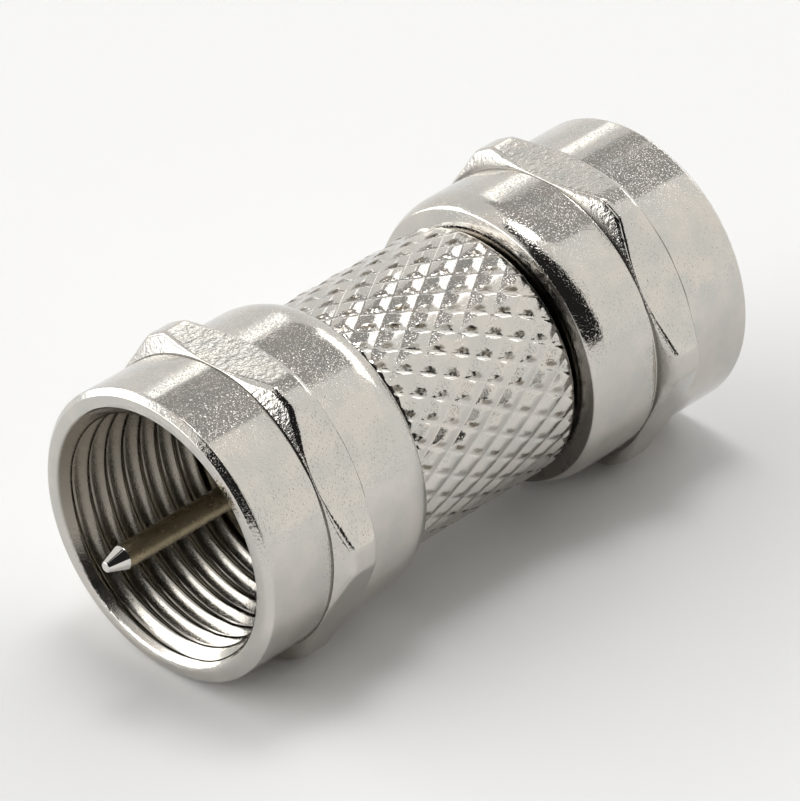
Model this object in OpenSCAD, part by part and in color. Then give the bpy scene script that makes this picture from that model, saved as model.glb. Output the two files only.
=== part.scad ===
// Male to male F coaxial adapter: two captive hexagon coupling nuts on a
// diamond-knurled barrel, with one centre pin that runs from end to end.
//
// Frame: the axis lies along X, the middle of the barrel is the origin and
// +Z is up. The adapter lies on one flat of each nut.
// Each end's pieces are drawn once, facing +X, and mirrored for the front end.

/* [Barrel] */
// Length of the barrel between its two shoulders
barrel_len = 7.9; // [6:0.1:14]
// Diameter over the tops of the knurl
knurl_d = 9.46; // [9.1:0.02:9.8]
// Number of diamonds round the barrel
knurl_count = 30; // [22:1:34]
// Length of one diamond along the axis
knurl_pitch = 1.6; // [1.3:0.05:2.4]
// Depth of the knurl grooves
knurl_depth = 0.16; // [0.1:0.01:0.32]
// Width of a diamond's flat top, as a share of the diamond
knurl_top = 0.26; // [0.1:0.02:0.5]
// Smooth chamfer at each end of the knurl
barrel_chamfer = 0.34; // [0.28:0.02:0.6]
// Bore through the middle of the barrel
barrel_bore_d = 3.2; // [2.6:0.1:4]
// Depth to which a ferrule is pressed into the barrel
seat_depth = 2.7; // [2:0.1:2.9]

/* [Coupling nuts] */
// Overall length of one coupling nut
nut_len = 7.7; // [7.2:0.1:10]
// Distance across the flats of the hexagon
hex_af = 11; // [10.8:0.05:12]
// How far the corners of the hexagon are turned down
corner_cut = 0.25; // [0.1:0.05:0.45]
// How far the round collars lie below the flats
collar_step = 0.05; // [0.02:0.01:0.2]
// Distance from the mouth to the near end of the hexagon's corners
hex_start = 3.3; // [2.4:0.1:3.6]
// Length of the hexagon's corners along the axis
hex_corner_len = 1.1; // [0.8:0.1:2]
// Angle between the axis and the chamfers that end the hexagon
hex_chamfer_angle = 60; // [45:1:70]
// Outer chamfer of the mouth
mouth_chamfer = 0.22; // [0.1:0.02:0.34]
// Depth of the inner chamfer that leads into the thread
lead_in = 0.44; // [0.2:0.02:0.5]
// Crest diameter of the 3/8-32 internal thread
thread_minor_d = 8.76; // [8.66:0.02:8.9]
// Length of the rounding at the rear of the nut
rear_round_len = 1.1; // [0.6:0.05:1.6]
// Depth of the rounding at the rear of the nut
rear_round_depth = 0.27; // [0.1:0.01:0.35]
// Thickness of the inward flange that holds the nut on
web_thick = 1; // [0.8:0.05:1.4]

/* [Ferrules] */
// Outside diameter of the sleeve, on which the nut turns
sleeve_d = 7; // [6.4:0.1:7.4]
// Wall of the sleeve
sleeve_wall = 0.9; // [0.5:0.05:1.2]
// Thickness of the flange that the nut bears on
flange_thick = 0.6; // [0.5:0.05:0.9]
// Chamfers on the flange and on the pressed end of the sleeve
ferrule_chamfer = 0.15; // [0.05:0.01:0.25]

/* [Centre pin and insulators] */
// Diameter of the centre pin
pin_d = 0.9; // [0.6:0.02:1.1]
// How far the pin stands out of each mouth
pin_reach = 2.3; // [1:0.1:4]
// Length of the pin's conical tip
pin_tip_len = 0.75; // [0.4:0.05:0.95]
// Diameter of the flat at the end of the tip
pin_tip_d = 0.36; // [0.2:0.02:0.5]
// Diameter of the pin where the insulators grip it
pin_seat_d = 1.3; // [1.22:0.02:1.5]
// Diameter of the pin's collar between the two insulators, which locates it
pin_mid_d = 1.8; // [1.6:0.05:2.4]
// How far an insulator lies behind the face of its ferrule
insulator_recess = 0.3; // [0.1:0.05:0.6]
// Chamfer round the front of an insulator
insulator_chamfer = 0.2; // [0.1:0.05:0.4]

/* [Fits] */
// Play of the nut along the axis, on each side of its inward flange
end_play = 0.15; // [0.1:0.01:0.3]
// Radial clearance of the nut on the sleeve
running_gap = 0.08; // [0.03:0.01:0.1]
// Radial clearance between the ferrule's flange and the thread
flange_gap = 0.23; // [0.15:0.01:0.4]
// Clearance of pieces that are pressed together
press_gap = 0.01; // [0.005:0.005:0.02]

/* [Hidden] */
round_fn = 96;

// Radii
knurl_r = knurl_d / 2;
hex_r = hex_af / 2 / cos(30);
corner_r = hex_r - corner_cut;
collar_r = hex_af / 2 - collar_step;
thread_r = thread_minor_d / 2;
sleeve_r = sleeve_d / 2;
sleeve_bore_r = sleeve_r - sleeve_wall;
flange_r = thread_r - flange_gap;
pin_r = pin_d / 2;
pin_tip_r = pin_tip_d / 2;
pin_seat_r = pin_seat_d / 2;
pin_mid_r = pin_mid_d / 2;

// Stations along the axis, from the middle of the barrel outwards
shoulder_x = barrel_len / 2;
seat_x = shoulder_x - seat_depth;
nut_rear_x = shoulder_x + end_play;
web_x = nut_rear_x + web_thick;
flange_x = web_x + end_play;
face_x = flange_x + flange_thick;
insulator_x = face_x - insulator_recess;
mouth_x = nut_rear_x + nut_len;
pin_x = mouth_x + pin_reach;

// Turns a profile, given as [x, radius] points, about the X axis
module turned(points) {
  rotate([90, 0, 90])
    rotate_extrude($fn = round_fn)
      polygon([for (p = points) [p[1], p[0]]]);
}

// Places a piece drawn facing +X at the rear end, or mirrored at the front
module at_end(front) {
  mirror([front ? 1 : 0, 0, 0]) children();
}

// --- Barrel: turned, knurled, and bored from both ends ----------------------

// Height of the groove bottoms, and half the lattice's length in half diamonds
groove_r = knurl_r - knurl_depth;
knurl_rows = ceil(barrel_len / knurl_pitch) + 1;
// Turn of the knurl about the axis
knurl_turn = 7.4;

// Point of the knurl: u and v count the two crossing sets of spiral grooves
function knurl_point(u, v, r) =
  let (a = 180 * (u + v) / knurl_count + knurl_turn)
    [(u - v) / 2 * knurl_pitch, r * cos(a), r * sin(a)];

// Rod covered in diamonds. Its grooves run where u or v is a whole number,
// and cross on rings that lie half a diamond apart. The four flanks of each
// diamond rise from its west, south, east and north corners to a flat top.
module knurled_rod() {
  n = knurl_count;
  m = knurl_rows;
  t = knurl_top / 2;
  crossings = [for (s = [-m:m]) for (i = [0:n - 1])
    knurl_point(i + s, i, groove_r)];
  tops = [for (s = [1 - m:m - 1]) for (i = [0:n - 1])
    for (d = [[-t, t], [-t, -t], [t, -t], [t, t]])
      knurl_point(i + s + 0.5 + d[0], i + 0.5 + d[1], knurl_r)];
  ends = [for (s = [-m, m]) [s / 2 * knurl_pitch, 0, 0]];
  first_top = len(crossings);
  first_end = first_top + len(tops);

  function crossing(s, i) = (s + m) * n + i % n;
  function top(s, i, corner) = first_top + 4 * ((s + m - 1) * n + i) + corner;

  diamonds = [for (s = [1 - m:m - 1]) for (i = [0:n - 1])
    let (foot = [crossing(s - 1, i + 1), crossing(s, i),
                 crossing(s + 1, i), crossing(s, i + 1)])
      for (k = [0:4])
        k == 4 ? [for (c = [0:3]) top(s, i, c)]
               : [foot[k], foot[(k + 1) % 4], top(s, i, (k + 1) % 4), top(s, i, k)]];
  caps = [for (i = [0:n - 1]) each [
    [crossing(m, i), crossing(m - 1, i), first_end + 1],
    [crossing(m - 1, i + 1), crossing(m, i), first_end + 1],
    [crossing(-m, i + 1), crossing(1 - m, i + 1), first_end],
    [crossing(1 - m, i), crossing(-m, i + 1), first_end]]];
  polyhedron(concat(crossings, tops, ends), concat(diamonds, caps));
}

module barrel() {
  chamfer_x = shoulder_x - barrel_chamfer;
  end_r = knurl_r - barrel_chamfer;
  clear_r = knurl_r + barrel_chamfer;
  bore_r = barrel_bore_d / 2;
  seat_r = sleeve_r + press_gap;
  color("silver")
    difference() {
      intersection() {
        knurled_rod();
        turned([
          [-shoulder_x, 0], [-shoulder_x, end_r],
          [-chamfer_x + barrel_chamfer, clear_r], [chamfer_x - barrel_chamfer, clear_r],
          [shoulder_x, end_r], [shoulder_x, 0]]);
      }
      // Middle bore, and a seat for the ferrule in each end
      turned([
        [-shoulder_x - 1, 0], [-shoulder_x - 1, seat_r], [-seat_x, seat_r],
        [-seat_x, bore_r], [seat_x, bore_r],
        [seat_x, seat_r], [shoulder_x + 1, seat_r], [shoulder_x + 1, 0]]);
    }
}

// --- Coupling nuts: turned from hexagon bar ---------------------------------

module coupling_nut() {
  hex_front_x = mouth_x - hex_start;
  hex_rear_x = hex_front_x - hex_corner_len;
  chamfer_run = (corner_r - collar_r) / tan(hex_chamfer_angle);
  hole_r = sleeve_r + running_gap;
  color("gainsboro")
    intersection() {
      turned([
        // Outside, from the mouth to the rear
        [mouth_x, collar_r - mouth_chamfer], [mouth_x - mouth_chamfer, collar_r],
        [hex_front_x + chamfer_run, collar_r], [hex_front_x, corner_r],
        [hex_rear_x, corner_r], [hex_rear_x - chamfer_run, collar_r],
        for (t = [0:0.2:1])
          [nut_rear_x + rear_round_len * (1 - t), collar_r - rear_round_depth * t * t],
        // Inside, from the rear to the mouth
        [nut_rear_x, hole_r], [web_x, hole_r], [web_x, thread_r],
        [mouth_x - lead_in, thread_r], [mouth_x, thread_r + lead_in]]);
      rotate([90, 0, 90])
        cylinder(h = mouth_x + 1, r = hex_r, $fn = 6);
    }
}

// --- Ferrules: pressed into the barrel, they hold the nuts on ---------------

module ferrule() {
  c = ferrule_chamfer;
  inner_x = seat_x + press_gap;
  color("lightgray")
    turned([
      [inner_x, sleeve_bore_r], [inner_x, sleeve_r - c], [inner_x + c, sleeve_r],
      [flange_x, sleeve_r], [flange_x, flange_r],
      [face_x - c, flange_r], [face_x, flange_r - c], [face_x, sleeve_bore_r]]);
}

// --- Insulators: moulded bushes that centre the pin -------------------------

module insulator() {
  c = insulator_chamfer;
  back_x = seat_x + press_gap;
  outer_r = sleeve_bore_r - press_gap;
  hole_r = pin_seat_r + press_gap;
  color("ivory")
    turned([
      [back_x, hole_r], [back_x, outer_r], [insulator_x - c, outer_r],
      [insulator_x, outer_r - c], [insulator_x, hole_r]]);
}

// --- Centre pin: one piece, pointed at both ends, with a collar in the middle,
// a seat for each insulator and a plain free end beyond it --------------------

module centre_pin() {
  shank_x = pin_x - pin_tip_len;
  color("tan")
    turned([
      [-pin_x, 0], [-pin_x, pin_tip_r], [-shank_x, pin_r],
      [-insulator_x, pin_r], [-insulator_x, pin_seat_r],
      [-seat_x, pin_seat_r], [-seat_x, pin_mid_r],
      [seat_x, pin_mid_r], [seat_x, pin_seat_r],
      [insulator_x, pin_seat_r], [insulator_x, pin_r],
      [shank_x, pin_r], [pin_x, pin_tip_r], [pin_x, 0]]);
}

barrel();
at_end(front = true) coupling_nut();  // front_coupling_nut
at_end(front = false) coupling_nut();  // rear_coupling_nut
at_end(front = true) ferrule();  // front_ferrule
at_end(front = false) ferrule();  // rear_ferrule
at_end(front = true) insulator();  // front_insulator
at_end(front = false) insulator();  // rear_insulator
centre_pin();
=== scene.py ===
import bpy
import numpy as np
from mathutils import Matrix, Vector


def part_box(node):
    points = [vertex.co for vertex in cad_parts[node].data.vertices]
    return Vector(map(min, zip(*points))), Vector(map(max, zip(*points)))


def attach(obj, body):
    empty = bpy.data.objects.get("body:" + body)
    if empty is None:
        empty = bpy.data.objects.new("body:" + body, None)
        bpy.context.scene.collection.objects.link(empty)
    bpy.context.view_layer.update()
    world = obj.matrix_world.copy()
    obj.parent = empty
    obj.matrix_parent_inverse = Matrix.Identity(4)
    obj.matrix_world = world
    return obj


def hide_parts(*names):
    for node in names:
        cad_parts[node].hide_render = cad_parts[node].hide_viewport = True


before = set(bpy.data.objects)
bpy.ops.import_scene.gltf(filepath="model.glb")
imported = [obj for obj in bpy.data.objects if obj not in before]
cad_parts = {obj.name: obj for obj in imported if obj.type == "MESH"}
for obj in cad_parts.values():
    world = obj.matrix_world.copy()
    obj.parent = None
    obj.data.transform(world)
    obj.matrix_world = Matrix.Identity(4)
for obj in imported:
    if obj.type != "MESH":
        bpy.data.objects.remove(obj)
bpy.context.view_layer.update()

# --- Coupling nuts -----------------------------------------------------------
# Two captive nuts turned from drawn hexagon brass bar and plated with bright
# nickel. A right-hand 3/8-32 thread is cut inside; an inward flange at the
# rear hangs behind the flange of the ferrule, so each nut turns freely.

# lengths are in millimetres, and times MM they are in metres
MM = 0.001
NUT_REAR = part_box("rear_coupling_nut")[0].x / MM
NUT_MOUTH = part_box("rear_coupling_nut")[1].x / MM
FLATS = 11.0
CORNERS_OFF = 0.25
COLLAR_STEP = 0.05
CORNER_R = FLATS / 2 / np.cos(np.pi / 6) - CORNERS_OFF
COLLAR_R = FLATS / 2 - COLLAR_STEP
MOUTH_CHAMFER = 0.22
FRONT_COLLAR = 3.3
HEX_LENGTH = 1.1
HEX_FRONT = NUT_MOUTH - FRONT_COLLAR
HEX_REAR = HEX_FRONT - HEX_LENGTH
HEX_SLOPE = np.tan(np.radians(60))
REAR_DEPTH = 0.27
REAR_ROUND = 1.1
REAR_POWER = 2.5
REAR_STOP = 0.97
REAR_LIP = 0.03
WEB = 1.0
WEB_FRONT = NUT_REAR + WEB
WEB_HOLE_R = 3.58

# how far the edges are rounded, and in how many steps
RIM_EDGE, CHAMFER_EDGE, COLLAR_EDGE, HEX_EDGE, WEB_EDGE = 0.05, 0.12, 0.08, 0.3, 0.06
EDGE_STEPS, HEX_STEPS, WEB_STEPS, REAR_STEPS = 5, 8, 3, 11
LAND_SOFT = 0.035
LAND_CLEAR, LAND_FADE = 0.05, 0.08
WEB_CORNER = 0.05

# the thread: crest and root radii, the flats as shares of half a pitch, the
# depth at which it runs out, and how softly its kinks are rounded
THREAD_PITCH = 25.4 / 32
CREST_R = 4.38
ROOT_R = 4.83
LEAD_IN = 0.44
CREST_FLAT, FLANK = 0.12, 0.78
THREAD_END, THREAD_FADE = 5.75, 0.5
CREST_SOFT, FADE_SOFT, LEAD_SOFT = 0.12, 0.1, 0.012
THREAD_ROW = 0.0565
CLEAR_OF_WEB, CLEAR_OF_MOUTH = 0.06, 0.03

# the nut's profile counted in rows from the mouth's inner edge: first, past last
RIM_ROWS = (0, 12)
CORNER_ROWS = (16, 20), (42, 46)
CONE_ROWS = (20, 25), (37, 42)
FLAT_ROWS = (27, 35)
ROUNDED_ROWS = (46, 60)
REAR_FACE_ROWS = (60, 65)
INSIDE_FROM = 71

# how deep the turning marks are beside those of the cones, and how the painted shade
# on the rear face and inside changes round the axis: its middle, and how much more at 45 degrees
# up
RIM_MARKS, ROUNDED_MARKS = 0.35, 0.15
UPPER_SIDE = np.pi / 4
REAR_PAINTED_SHADE = 0.5, -0.45
INSIDE_PAINTED_SHADE = 0.6, 0.4


def linear(hex_colour):
    """sRGB hex to linear: each channel c becomes c/12.92 up to 0.04045 and
    ((c+0.055)/1.055)^2.4 above it."""
    c = np.array([int(hex_colour[i:i + 2], 16) / 255 for i in (1, 3, 5)])
    c = np.where(c <= 0.04045, c / 12.92, ((c + 0.055) / 1.055) ** 2.4)
    return (*c.tolist(), 1.0)


def node(tree, kind, inputs=None, **settings):
    """Adds one node, sets its properties, and sets or links its inputs."""
    made = tree.nodes.new(kind)
    for name, value in settings.items():
        setattr(made, name, value)
    for name, value in (inputs or {}).items():
        if isinstance(value, bpy.types.NodeSocket):
            tree.links.new(value, made.inputs[name])
        else:
            made.inputs[name].default_value = value
    return made


def solid(name, points, faces, material, attributes=None):
    """Closed mesh from points in mm and faces. All faces are turned round where the
    volume, the sum of a . (b x c) over their triangles, comes out negative."""
    tri = np.concatenate([np.array([f[0], f[k], f[k + 1]]).T.reshape(-1, 3)
                          for f in faces for k in range(1, len(f) - 1)])
    a, b, c = points[tri[:, 0]], points[tri[:, 1]], points[tri[:, 2]]
    flip = np.einsum("ij,ij->i", a, np.cross(b, c)).sum() < 0
    sides = [np.array(f).T.reshape(-1, len(f)) for f in faces]
    if flip:
        sides = [s[:, ::-1] for s in sides]
    mesh = bpy.data.meshes.new(name)
    corners = np.concatenate([s.ravel() for s in sides]).astype(np.int32)
    counts = np.concatenate([np.full(len(s), s.shape[1]) for s in sides])
    starts = np.concatenate([[0], np.cumsum(counts)[:-1]]).astype(np.int32)
    mesh.vertices.add(len(points))
    mesh.vertices.foreach_set("co", (points * MM).astype(np.float32).ravel())
    mesh.loops.add(len(corners))
    mesh.loops.foreach_set("vertex_index", corners)
    mesh.polygons.add(len(counts))
    mesh.polygons.foreach_set("loop_start", starts)
    mesh.update(calc_edges=True)
    mesh.validate()
    mesh.shade_smooth()
    for key, values in (attributes or {}).items():
        mesh.attributes.new(key, "FLOAT", "POINT").data.foreach_set(
            "value", np.asarray(values, np.float32).ravel())
    mesh.materials.append(material)
    piece = bpy.data.objects.new(name, mesh)
    bpy.context.scene.collection.objects.link(piece)
    return piece


def hoop_faces(rows, cols, closed):
    """Quads between neighbouring rows of a grid whose columns go right round; a closed
    grid also joins the last row to the first."""
    i = np.arange(rows if closed else rows - 1)[:, None]
    j = np.arange(cols)[None, :]
    up, on = (i + 1) % rows, (j + 1) % cols
    return [f.ravel() for f in (i * cols + j, i * cols + on, up * cols + on, up * cols + j)]


def bend(before, corner, after, radius, steps):
    """Rounded corner of a profile: a parabola that touches both sides at the fillet's
    tangent length, the radius over the tangent of half the corner, kept under 0.45 of
    the shorter side, with a straight support point half as far again outside each end,
    kept under 0.49 of its own side."""
    u, v = before - corner, after - corner
    lu, lv = np.linalg.norm(u, axis=0), np.linalg.norm(v, axis=0)
    u, v = u / lu, v / lv
    half = np.arccos(np.clip((u * v).sum(0), -1, 1)) / 2
    reach = np.minimum(radius / np.tan(half), 0.45 * np.minimum(lu, lv))
    t = np.linspace(0, 1, steps)[:, None, None]
    ends = corner + u * reach, corner + v * reach
    curve = (1 - t) ** 2 * ends[0] + 2 * t * (1 - t) * corner + t ** 2 * ends[1]
    holds = [corner + w * np.minimum(reach * 1.5, 0.49 * lw) for w, lw in ((u, lu), (v, lv))]
    return [holds[0], *curve, holds[1]]


def soft_clip(t, e):
    """t held between 0 and 1, with both kinks rounded over a width e: half of
    sqrt(t^2+e^2) - sqrt((t-1)^2+e^2) + 1."""
    return 0.5 * (np.sqrt(t * t + e * e) - np.sqrt((t - 1) ** 2 + e * e) + 1)


def soft_least(a, b, e):
    """The smaller of a and b, rounded over a width e: half of a+b - sqrt((a-b)^2+e^2)."""
    return 0.5 * (a + b - np.sqrt((a - b) ** 2 + e ** 2))


def nut_angles():
    """Angles round the axis from +Y, worked out in degrees: 2 apart over the first 20
    from a flat's middle and 10/28 apart over the last 10 before a corner, where the
    flats meet the turned land; mirrored, and repeated for the six sides."""
    half = np.concatenate([np.linspace(0, 20, 11)[:-1], np.linspace(20, 30, 29)[:-1]])
    sector = np.concatenate([half, 60 - np.concatenate([[30], half[:0:-1]])])
    return np.radians(np.concatenate([sector + 90 + 60 * k for k in range(6)]))


def thread_radius(x, angle, mouth):
    """Radius of the internal thread: a triangle wave of x/pitch minus angle/turn, clipped
    to narrow flats at crest and root, fading out at its inner end. Its flanks stand
    about 69 degrees apart, a little more than a real thread's 60. The larger of it and
    the 45-degree lead-in is taken, softly."""
    wave = 2 * np.abs((x / THREAD_PITCH - angle / (2 * np.pi)) % 1 - 0.5)
    depth = mouth - np.abs(x)
    cut = soft_clip((wave - CREST_FLAT) / FLANK, CREST_SOFT)
    cut = cut * soft_clip((THREAD_END + THREAD_FADE - depth) / THREAD_FADE, FADE_SOFT)
    r = CREST_R + (ROOT_R - CREST_R) * cut
    lead = CREST_R + LEAD_IN - depth
    return 0.5 * (r + lead + np.sqrt((r - lead) ** 2 + LEAD_SOFT ** 2))


def coupling_nut(name, side, material):
    """The nut as one closed skin. For each angle its profile runs along the rim, the
    outside with the hexagon's radius (apothem over the cosine, held under the turned
    corners), the rear, where the radius falls by the depth times t^2.5, the flange's
    hole and back along the thread. Attributes mark the drawn flats and the turned rim,
    cones and rear. One marks painted shade in the corners beside the cones and on the
    rear face, darkest on its low side. One marks the inside, with painted shade that is
    strongest on the upper side."""
    angle = nut_angles()
    from_flat = (angle - np.pi / 2 + np.pi / 6) % (np.pi / 3) - np.pi / 6
    flat = FLATS / 2 / np.cos(from_flat)
    top = soft_least(flat, CORNER_R, LAND_SOFT)
    one = np.ones_like(angle)

    def at(x, r):
        return np.array([x * one, r * one])

    cone = (CORNER_R - top) / HEX_SLOPE
    run = (CORNER_R - COLLAR_R) / HEX_SLOPE
    a = at(NUT_MOUTH, CREST_R + LEAD_IN)
    b = at(NUT_MOUTH, COLLAR_R - MOUTH_CHAMFER)
    c = at(NUT_MOUTH - MOUTH_CHAMFER, COLLAR_R)
    d = at(HEX_FRONT + run, COLLAR_R)
    e = at(HEX_FRONT + cone, top)
    f = at(HEX_REAR - cone, top)
    g = at(HEX_REAR - run, COLLAR_R)
    h = at(NUT_REAR + REAR_ROUND, COLLAR_R)
    rows = [a]
    rows += bend(a, b, c, RIM_EDGE, EDGE_STEPS) + bend(b, c, d, CHAMFER_EDGE, EDGE_STEPS)
    rows += bend(c, d, e, COLLAR_EDGE, EDGE_STEPS) + bend(d, e, f, HEX_EDGE, HEX_STEPS)
    rows += bend(e, f, g, HEX_EDGE, HEX_STEPS) + bend(f, g, h, COLLAR_EDGE, EDGE_STEPS)
    for t in np.linspace(0, REAR_STOP, REAR_STEPS):
        rows.append(at(NUT_REAR + REAR_ROUND * (1 - t), COLLAR_R - REAR_DEPTH * t ** REAR_POWER))
    i = at(NUT_REAR, COLLAR_R - REAR_DEPTH - REAR_LIP)
    j = at(NUT_REAR, WEB_HOLE_R)
    k = at(WEB_FRONT, WEB_HOLE_R)
    m = at(WEB_FRONT, CREST_R)
    rows += [i] + bend(i, j, k, WEB_EDGE, WEB_STEPS) + bend(j, k, m, WEB_EDGE, WEB_STEPS)
    rows += [at(WEB_FRONT, CREST_R - WEB_CORNER)]
    for x in np.arange(WEB_FRONT + CLEAR_OF_WEB, NUT_MOUTH - CLEAR_OF_MOUTH, THREAD_ROW):
        rows.append(np.array([x * one, thread_radius(side * x, angle, NUT_MOUTH)]))
    grid = np.array(rows)
    x, r = side * grid[:, 0], grid[:, 1]
    points = np.stack([x, r * np.cos(angle), r * np.sin(angle)], -1)
    row = np.arange(len(rows))[:, None] + 0 * angle

    def band(first, past):
        return (row >= first) & (row < past)

    def round_axis(middle, swing):
        return middle + swing * np.cos(angle - UPPER_SIDE)

    on_flat = np.clip((CORNER_R - top - LAND_CLEAR) / LAND_FADE, 0, 1)
    drawn = np.where(band(*FLAT_ROWS), on_flat, 0)
    cones = band(*CONE_ROWS[0]) | band(*CONE_ROWS[1])
    corners = band(*CORNER_ROWS[0]) | band(*CORNER_ROWS[1])
    turned = np.where(band(*ROUNDED_ROWS), ROUNDED_MARKS, 0)
    turned = np.where(cones, 1.0, np.where(band(*RIM_ROWS), RIM_MARKS, turned))
    # painted shade: dark brown in the concave corners beside the cones, and on the rear face,
    # most on its low side
    painted_shade = np.where(corners, 1.0, np.where(band(*REAR_FACE_ROWS), round_axis(*REAR_PAINTED_SHADE), 0))
    # the inside, where shade is painted darker, strongest on the upper side; it also makes the
    # pits fainter
    inside_painted_shade = np.where(row >= INSIDE_FROM, round_axis(*INSIDE_PAINTED_SHADE), 0)
    return solid(name, points.reshape(-1, 3), [hoop_faces(*r.shape, True)], material,
                 {"drawn": drawn, "turned": turned, "painted_shade": painted_shade, "inside_painted_shade": inside_painted_shade})


# the sizes of the plating's patterns, and the heights of those by attribute
MOTTLE, CLOUDS, PITS, SWELL, PEEL, TOOL_MARKS = 1.1, 0.5, 0.06, 0.6, 0.2, 0.16
PEEL_HEIGHT, TOOL_HEIGHT = 0.011, 0.035
COOLER = (0.90, 0.93, 0.95, 1)
PITS_INSIDE = 0.6
# the attribute, how far its painted shade covers there, and the shade's colour
PAINTED_SHADES = ("painted_shade", 0.75, "#3b352b"), ("inside_painted_shade", 0.8, "#52452c")
PAINTED_SHADE_ROUGH, RAW_ROUGH = 0.26, 0.2
# the Mix node's colour sockets
FIRST, SECOND, MIXED = 6, 7, 2


# Bright nickel on brass: a warm grey mirror with fine pits, which sparkle at
# the edges of what it reflects, and faint warm and cool mottling. The drawn
# flats keep an orange peel and the cones their tool marks. Shade is painted dark
# brown into the corners, onto the rear face and into the thread. The pits are
# drawn about 0.06 mm wide, coarser than real ones, so that they show.
def nickel_plate(name, tint="#cec9c2", rough=0.07, pit=0.0045, wave=0.004, marks=False,
                 raw_and_painted_shade=None):
    """Nickel plate. Colour: two tints mixed by broad noise. With marks, the painted shade
    of the corners, the rear face and the inside is mixed in by its attributes. Where a
    raw colour is given, that colour is mixed in by its attribute: torn lips on the
    knurl, painted shade on the pin's shank. Roughness: clouds round rough, more where
    shade is painted and where the raw colour lies. Height: fine pits and a broad swell,
    and with marks less of both inside, plus orange peel times the attribute drawn and
    tool marks times the attribute turned."""
    material = bpy.data.materials.new(name)
    material.use_nodes = True
    tree = material.node_tree
    shader = tree.nodes["Principled BSDF"]
    shader.inputs["Metallic"].default_value = 1.0
    where = node(tree, "ShaderNodeTexCoord").outputs["Object"]

    def noise(size, detail):
        return node(tree, "ShaderNodeTexNoise", {
            "Vector": where, "Scale": 1 / (size * MM), "Detail": detail}).outputs["Fac"]

    def painted(key, strength, value=None):
        kept = node(tree, "ShaderNodeAttribute", attribute_name=key).outputs["Fac"]
        if value is not None:
            kept = node(tree, "ShaderNodeMath", {0: kept, 1: value},
                        operation="MULTIPLY").outputs[0]
        return node(tree, "ShaderNodeMath", {0: kept, 1: strength},
                    operation="MULTIPLY").outputs[0]

    warm = linear(tint)
    cool = tuple(w * k for w, k in zip(warm, COOLER))
    patches = node(tree, "ShaderNodeMapRange", {
        "Value": noise(MOTTLE, 4.0), "From Min": 0.4, "From Max": 0.6})
    colour = node(tree, "ShaderNodeMix", {
        "Factor": patches.outputs["Result"], FIRST: warm, SECOND: cool},
        data_type="RGBA").outputs[MIXED]
    roughness = node(tree, "ShaderNodeMapRange", {
        "Value": noise(CLOUDS, 4.0), "From Min": 0.3, "From Max": 0.7,
        "To Min": rough * 0.7, "To Max": rough * 1.5}).outputs["Result"]
    pits = node(tree, "ShaderNodeMapRange", {
        "Value": noise(PITS, 1.0), "From Min": 0.56, "From Max": 0.8, "To Max": pit * MM})
    swell = node(tree, "ShaderNodeMath", {0: noise(SWELL, 3.0), 1: wave * MM},
                 operation="MULTIPLY")
    height = node(tree, "ShaderNodeMath", {
        0: pits.outputs["Result"], 1: swell.outputs[0]}).outputs[0]
    if marks:
        fainter = node(tree, "ShaderNodeMapRange", {
            "Value": painted("inside_painted_shade", 1.0), "From Max": 0.2,
            "To Min": 1.0, "To Max": PITS_INSIDE})
        height = node(tree, "ShaderNodeMath", {0: height, 1: fainter.outputs["Result"]},
                      operation="MULTIPLY").outputs[0]
        peel = painted("drawn", PEEL_HEIGHT * MM, noise(PEEL, 2.0))
        tool = painted("turned", TOOL_HEIGHT * MM, noise(TOOL_MARKS, 3.0))
        for extra in (peel, tool):
            height = node(tree, "ShaderNodeMath", {0: height, 1: extra}).outputs[0]
        # painted shade, mixed into the colour by its attributes: corners, rear face and inside
        for key, amount, shade_colour in PAINTED_SHADES:
            colour = node(tree, "ShaderNodeMix", {
                "Factor": painted(key, amount), FIRST: colour, SECOND: linear(shade_colour)},
                data_type="RGBA").outputs[MIXED]
            roughness = node(tree, "ShaderNodeMath", {
                0: painted(key, PAINTED_SHADE_ROUGH * amount), 1: roughness}).outputs[0]
    if raw_and_painted_shade:
        colour = node(tree, "ShaderNodeMix", {
            "Factor": painted("raw_and_painted_shade", 1.0), FIRST: colour, SECOND: linear(raw_and_painted_shade)},
            data_type="RGBA").outputs[MIXED]
        roughness = node(tree, "ShaderNodeMath", {
            0: painted("raw_and_painted_shade", RAW_ROUGH), 1: roughness}).outputs[0]
    tree.links.new(colour, shader.inputs["Base Color"])
    tree.links.new(roughness, shader.inputs["Roughness"])
    bump = node(tree, "ShaderNodeBump", {"Height": height, "Distance": 1.0, "Strength": 1.0})
    tree.links.new(bump.outputs["Normal"], shader.inputs["Normal"])
    return material


nut_nickel = nickel_plate("bright_nickel_on_turned_brass", marks=True)
front_nut = coupling_nut("front_nut_threaded", -1, nut_nickel)
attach(front_nut, "front_nut")
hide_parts("front_coupling_nut")
rear_nut = coupling_nut("rear_nut_threaded", 1, nut_nickel)
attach(rear_nut, "rear_nut")
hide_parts("rear_coupling_nut")


# --- Knurled barrel ----------------------------------------------------------
# Brass rod with a diamond knurl rolled into it, chamfered at both ends and
# plated with the same bright nickel. The ferrules are pressed into its ends.

BARREL_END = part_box("barrel")[1].x / MM
KNURL_R = 4.73
KNURL_COUNT = 30
KNURL_PITCH = 1.6
KNURL_DEPTH = 0.095
KNURL_TURN = np.radians(7.4)
KNURL_CHAMFER = 0.34
CHAMFER_SOFT = 0.02
END_EDGE = 0.01
STEPS = 16  # along each side of a diamond
SEAT_R = 3.51
SEAT_X = 1.25
BORE_R = 1.6

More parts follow.
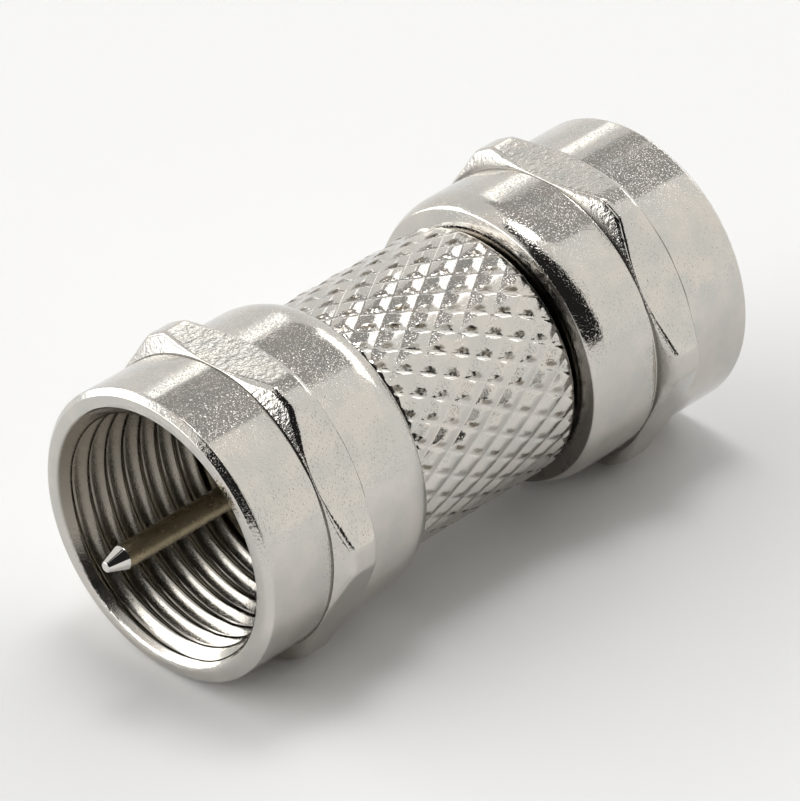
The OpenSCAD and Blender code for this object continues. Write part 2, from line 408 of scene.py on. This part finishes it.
# one diamond, in shares of a cell: the widths of its four flanks, times a least
# value and a random more; how sharp its edges are; its height, least and more
KNURL_FLANKS = (0.51, 0.45, 0.16, 0.26)
FLANK_LEAST, FLANK_MORE = 0.85, 0.3
KNURL_SHARP = 14.0
TOP_LEAST, TOP_MORE = 0.9, 0.1
# its torn lip: middle, half size, depth, and strength, least and more; then where
# its border lies, how ragged that is and how soft
LIP_MIDDLE = (0.47, 0.80)
LIP_SIZE = (0.27, 0.12)
LIP_DEPTH = 0.05
LIP_LEAST, LIP_MORE = 0.35, 0.65
LIP_REACH, LIP_RAGGED, LIP_SOFT = 0.95, 0.7, 0.35
# the table of random cells, longer than the lattice so that none repeats
CELLS = (97, 61)


def knurl_height(u, v, rng):
    """Height over the groove bottoms, and how raw the surface is. Each cell is a
    flat-topped diamond whose four flanks have their own widths; their height is the
    soft minimum of the four ramps and the top, minus the log of the sum of exp(-sharp
    times each) over sharp, raised by log(4)/sharp. The lip, an ellipse over one groove
    of each diamond, is torn down by a random share of its depth."""
    cell = np.floor(u).astype(int) % CELLS[0], np.floor(v).astype(int) % CELLS[1]
    across, along = u % 1, v % 1
    widths = [w * (FLANK_LEAST + FLANK_MORE * rng.random(CELLS)[cell]) for w in KNURL_FLANKS]
    ramps = [across / widths[0], (1 - across) / widths[1],
             along / widths[2], (1 - along) / widths[3], 1 + 0 * u]
    top = -np.log(sum(np.exp(-KNURL_SHARP * ramp) for ramp in ramps)) / KNURL_SHARP
    top = np.clip(top + np.log(4.0) / KNURL_SHARP, 0, 1)
    top = top * (TOP_LEAST + TOP_MORE * rng.random(CELLS)[cell])
    ragged = rng.random(u.shape)
    mark = ((across - LIP_MIDDLE[0]) / LIP_SIZE[0]) ** 2
    mark = mark + ((along - LIP_MIDDLE[1]) / LIP_SIZE[1]) ** 2
    raw_and_painted_shade = np.clip((LIP_REACH - mark + LIP_RAGGED * (ragged - 0.5)) / LIP_SOFT, 0, 1)
    raw_and_painted_shade = raw_and_painted_shade * (LIP_LEAST + LIP_MORE * rng.random(CELLS)[cell])
    return KNURL_DEPTH * top - raw_and_painted_shade * LIP_DEPTH * ragged, raw_and_painted_shade


def knurled_barrel(name, material):
    """Lattice of staggered rings: level s stands at x = s half-steps, and every second
    ring is turned half a step, so the quads are diamonds whose sides run along the
    grooves. The ends and the bores are plain rings."""
    ring = KNURL_COUNT * STEPS
    last = int(BARREL_END / (KNURL_PITCH / 2 / STEPS)) - 1
    last -= last % 2
    s = np.arange(-last, last + 1)[:, None]
    t = 2 * np.arange(ring)[None, :] + s % 2
    u, v = (t + s) / 2 / STEPS, (t - s) / 2 / STEPS
    x = s * KNURL_PITCH / 2 / STEPS + 0 * t
    angle = np.pi * (u + v) / KNURL_COUNT + KNURL_TURN
    rise, raw_and_painted_shade = knurl_height(u, v, np.random.default_rng(5))
    cone = KNURL_R + END_EDGE - (np.abs(x) - (BARREL_END - KNURL_CHAMFER))
    r = soft_least(KNURL_R - KNURL_DEPTH + rise, cone, CHAMFER_SOFT)
    edge = KNURL_R - KNURL_CHAMFER
    right_end = [(BARREL_END - END_EDGE, edge + END_EDGE), (BARREL_END, edge - 2 * END_EDGE),
                 (BARREL_END, SEAT_R), (SEAT_X, SEAT_R), (SEAT_X, BORE_R)]
    plain = np.array(right_end + [(-px, pr) for px, pr in right_end[::-1]])
    turn = np.broadcast_to(angle[-1], (len(plain), ring))
    x = np.concatenate([x, plain[:, :1] + 0 * turn])
    r = np.concatenate([r, plain[:, 1:] + 0 * turn])
    raw_and_painted_shade = np.concatenate([raw_and_painted_shade, 0 * turn])
    angle = np.concatenate([angle, turn])
    points = np.stack([x, r * np.cos(angle), r * np.sin(angle)], -1).reshape(-1, 3)
    k = np.arange(ring)[None, :]
    mid = np.arange(1, 2 * last)[:, None]
    odd = (s[1:-1] % 2).astype(int)
    south, north = (k - odd) % ring, (k + 1 - odd) % ring
    diamonds = [a.ravel() for a in (mid * ring + south, (mid + 1) * ring + k,
                                    mid * ring + north, (mid - 1) * ring + k)]
    k = np.arange(ring)
    on = (k + 1) % ring
    # the border rings are even, so the odd ring beside each lies half a step on
    left = [1 * ring + k, 0 * ring + on, 0 * ring + k]
    right = [(2 * last - 1) * ring + k, 2 * last * ring + k, 2 * last * ring + on]
    rest = hoop_faces(len(plain) + 2, ring, False)
    order = np.array([2 * last, *(2 * last + 1 + np.arange(len(plain))), 0])
    rest = [order[f // ring] * ring + f % ring for f in rest]
    return solid(name, points, [diamonds, left, right, rest], material, {"raw_and_painted_shade": raw_and_painted_shade})


# The same nickel on rolled brass, bright, and grey-brown where the lips are torn.
knurl_nickel = nickel_plate("bright_nickel_on_knurled_brass", pit=0.004, raw_and_painted_shade="#776e60")
barrel = knurled_barrel("barrel_knurled", knurl_nickel)
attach(barrel, "body")
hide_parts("barrel")


# --- Centre pin --------------------------------------------------------------
# One brass pin turned to a cone with a small flat at each end and plated. Its
# tips are bright; its shank is rougher, with shade painted darker and browner
# into its colour. The insulators hold it by its thicker seats.

PIN_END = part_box("centre_pin")[1].x / MM
PIN_R = 0.45
PIN_TIP_R = 0.18
PIN_TIP = 0.75
PIN_SHANK_END = PIN_END - PIN_TIP
PIN_SEAT_R = 0.65
PIN_SEAT = 5.55
PIN_MID_R = 0.9
PIN_EDGES = (0.02, 0.02, 0.02, 0.02, 0.1, 0.04)


def turned_solid(name, profile, material, shank, cols=96):
    """Profile of x and radius turned about the X axis; its first and last points lie on
    the axis and close it as fans. One attribute is 1 where |x| is under shank: there the
    pin's shade is painted darker and browner."""
    profile = np.array(profile)
    angle = np.linspace(0, 2 * np.pi, cols, endpoint=False)
    x, r = (profile[1:-1, axis][:, None] + 0 * angle for axis in (0, 1))
    points = np.stack([x, r * np.cos(angle), r * np.sin(angle)], -1).reshape(-1, 3)
    points = np.concatenate([points, [[profile[0, 0], 0, 0], [profile[-1, 0], 0, 0]]])
    k, n = np.arange(cols), len(profile) - 2
    on = (k + 1) % cols
    first, end = 0 * k + n * cols, 0 * k + n * cols + 1
    fans = [first, on, k], [end, (n - 1) * cols + k, (n - 1) * cols + on]
    # the shank, where shade is painted darker and browner into the colour
    shaded_shank = (np.abs(points[:, 0]) < shank).astype(float)
    return solid(name, points, [hoop_faces(n, cols, False), *fans], material, {"raw_and_painted_shade": shaded_shank})


def smooth_profile(corners, radii, steps=4):
    """Profile whose inner corners are rounded by their own radii, as bend does it."""
    p = [np.array(c, float)[:, None] for c in corners]
    out = [p[0]]
    for i, radius in enumerate(radii, 1):
        out += bend(p[i - 1], p[i], p[i + 1], radius, steps)
    out.append(p[-1])
    return np.array(out)[:, :, 0]


half_pin = [(0, PIN_MID_R), (SEAT_X, PIN_MID_R), (SEAT_X, PIN_SEAT_R), (PIN_SEAT, PIN_SEAT_R),
            (PIN_SEAT, PIN_R), (PIN_SHANK_END, PIN_R), (PIN_END, PIN_TIP_R), (PIN_END, 0)]
half_pin = smooth_profile(half_pin, PIN_EDGES)
whole_pin = np.concatenate([half_pin[::-1] * [-1, 1], half_pin[1:]])
# Nickel on a turned pin: a smooth mirror at the tips, rougher between, with shade painted darker
# and brownish into its colour.
pin_nickel = nickel_plate("dull_nickel_on_turned_pin", tint="#d6d3ce", rough=0.06, pit=0.0,
                          wave=0.0, raw_and_painted_shade="#a0967f")
pin = turned_solid("centre_pin_turned", whole_pin, pin_nickel, PIN_SHANK_END)
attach(pin, "body")
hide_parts("centre_pin")


# --- Ferrules ----------------------------------------------------------------
# Flanged brass sleeves, turned and plated, pressed into the barrel; their
# flanges hold the nuts and touch the mating socket.

# Nickel that the mating socket has rubbed: darker, yellower and less sharp.
ferrule_nickel = nickel_plate("nickel_on_turned_ferrule", tint="#b9b1a0", rough=0.15)
for name in ("front_ferrule", "rear_ferrule"):
    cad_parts[name].data.materials[0] = ferrule_nickel


# --- Insulators --------------------------------------------------------------
# Bushes moulded of natural acetal and pressed into the ferrules. The plastic
# is an opaque warm white with a low sheen and faint clouds.

ACETAL_CLOUDS = 0.8
acetal = bpy.data.materials.new("natural_acetal")
acetal.use_nodes = True
tree = acetal.node_tree
shader = tree.nodes["Principled BSDF"]
where = node(tree, "ShaderNodeTexCoord").outputs["Object"]
cloud = node(tree, "ShaderNodeTexNoise", {"Vector": where, "Scale": 1 / (ACETAL_CLOUDS * MM)})
colour = node(tree, "ShaderNodeMix", {
    "Factor": cloud.outputs["Fac"], FIRST: linear("#e4dfd2"), SECOND: linear("#ece8dd")},
    data_type="RGBA")
tree.links.new(colour.outputs[MIXED], shader.inputs["Base Color"])
shader.inputs["Roughness"].default_value = 0.45
for name in ("front_insulator", "rear_insulator"):
    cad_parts[name].data.materials[0] = acetal


# --- Floor -------------------------------------------------------------------
# A plain sheet of matt white paper under the flats, which takes a soft shadow
# and shows no gloss.

FLOOR_Z = -FLATS / 2 * MM
FLOOR_HALF = 500 * MM
floor_mesh = bpy.data.meshes.new("floor")
floor_mesh.from_pydata([(x * FLOOR_HALF, y * FLOOR_HALF, FLOOR_Z)
                        for x, y in ((-1, -1), (1, -1), (1, 1), (-1, 1))], [], [(0, 1, 2, 3)])
paper = bpy.data.materials.new("white_paper")
paper.use_nodes = True
shader = paper.node_tree.nodes["Principled BSDF"]
shader.inputs["Base Color"].default_value = linear("#fafafa")
shader.inputs["Roughness"].default_value = 0.9
shader.inputs["Specular IOR Level"].default_value = 0.0
floor_mesh.materials.append(paper)
floor = bpy.data.objects.new("floor", floor_mesh)
bpy.context.scene.collection.objects.link(floor)


# --- Light -------------------------------------------------------------------
# A pale room that holds soft rectangular screens, lamps and dark cards, each
# laid over those before it. There are no other lamps.

ROOM_LIGHT = (0.90, 0.89, 0.87, 1)
SOFT_EDGE = np.radians(1.5)
# bearing from +X toward +Y, rise, half width and half height in degrees; light
PATCHES = [(-38, 18, 26, 45, (1.0, 0.985, 0.95, 1)),
           (22, 55, 35, 21, (0.45, 0.44, 0.43, 1)),
           (6, 35, 23, 9, (2.3, 2.3, 2.3, 1)),
           (49, 26, 2.5, 8, (2.0, 2.0, 1.95, 1)),
           (129.5, 15, 39.5, 20, (3.2, 3.2, 3.15, 1)),
           (177, 8, 9, 18, (0.06, 0.06, 0.06, 1)),
           (-121, 48, 56, 42, (0.02, 0.02, 0.02, 1)),
           (150, 78, 60, 8, (0.1, 0.1, 0.1, 1)),
           (30, 77, 40, 8, (8.0, 8.0, 8.0, 1))]

world = bpy.data.worlds.new("pale_room")
bpy.context.scene.world = world
world.use_nodes = True
tree = world.node_tree
toward = node(tree, "ShaderNodeTexCoord").outputs["Generated"]
upward = node(tree, "ShaderNodeSeparateXYZ", {"Vector": toward}).outputs["Z"]
elevation = node(tree, "ShaderNodeMath", {0: upward}, operation="ARCSINE").outputs[0]
room = ROOM_LIGHT
for bearing, rise, half_width, half_height, light in PATCHES:
    swung = node(tree, "ShaderNodeVectorRotate", {
        "Vector": toward, "Angle": -np.radians(bearing)}, rotation_type="Z_AXIS")
    level = node(tree, "ShaderNodeSeparateXYZ", {"Vector": swung.outputs["Vector"]})
    sideways = node(tree, "ShaderNodeMath", {
        0: level.outputs["Y"], 1: level.outputs["X"]}, operation="ARCTAN2").outputs[0]
    mask = 1.0
    for angle, middle, half in ((sideways, 0.0, half_width),
                                (elevation, np.radians(rise), half_height)):
        off = node(tree, "ShaderNodeMath", {0: angle, 1: middle}, operation="SUBTRACT")
        off = node(tree, "ShaderNodeMath", {0: off.outputs[0]}, operation="ABSOLUTE")
        within = node(tree, "ShaderNodeMapRange", {
            "Value": off.outputs[0], "From Min": np.radians(half) + SOFT_EDGE,
            "From Max": np.radians(half) - SOFT_EDGE}, interpolation_type="SMOOTHSTEP")
        mask = node(tree, "ShaderNodeMath", {0: within.outputs["Result"], 1: mask},
                    operation="MULTIPLY").outputs[0]
    room = node(tree, "ShaderNodeMix", {"Factor": mask, FIRST: room, SECOND: light},
                data_type="RGBA").outputs[MIXED]
tree.links.new(room, tree.nodes["Background"].inputs["Color"])

bpy.context.scene.view_settings.view_transform = "Standard"


# --- Camera ------------------------------------------------------------------
# A long lens before the front nut's mouth, above it and to the side, a little
# rolled, so that both the mouth and the whole length are seen.

# angles in degrees; the focal length and the frame's side are in one unit
AZIMUTH, ELEVATION, ROLL = np.radians([-44.253, 32.778, -2.527])
DISTANCE, SHIFT_X, SHIFT_Y = 247.013, 0.068, 0.214
FOCAL, SENSOR, FRAME_SIDE = 7183.734, 36, 801
back = np.array([np.sin(AZIMUTH) * np.cos(ELEVATION), -np.cos(AZIMUTH) * np.cos(ELEVATION),
                 np.sin(ELEVATION)])
right = np.array([np.cos(AZIMUTH), np.sin(AZIMUTH), 0])
up = np.cross(back, right)
right, up = (right * np.cos(ROLL) + up * np.sin(ROLL), -right * np.sin(ROLL) + up * np.cos(ROLL))
place = (-SHIFT_X * right - SHIFT_Y * up + DISTANCE * back) * MM
camera = bpy.data.objects.new("camera", bpy.data.cameras.new("camera"))
camera.data.lens = FOCAL * SENSOR / FRAME_SIDE
camera.data.clip_start, camera.data.clip_end = 10 * MM, 10000 * MM
camera.matrix_world = Matrix(
    [[*r] for r in np.column_stack([right, up, back, place])] + [[0, 0, 0, 1]])
bpy.context.scene.collection.objects.link(camera)
bpy.context.scene.camera = camera

bpy.context.view_layer.update()
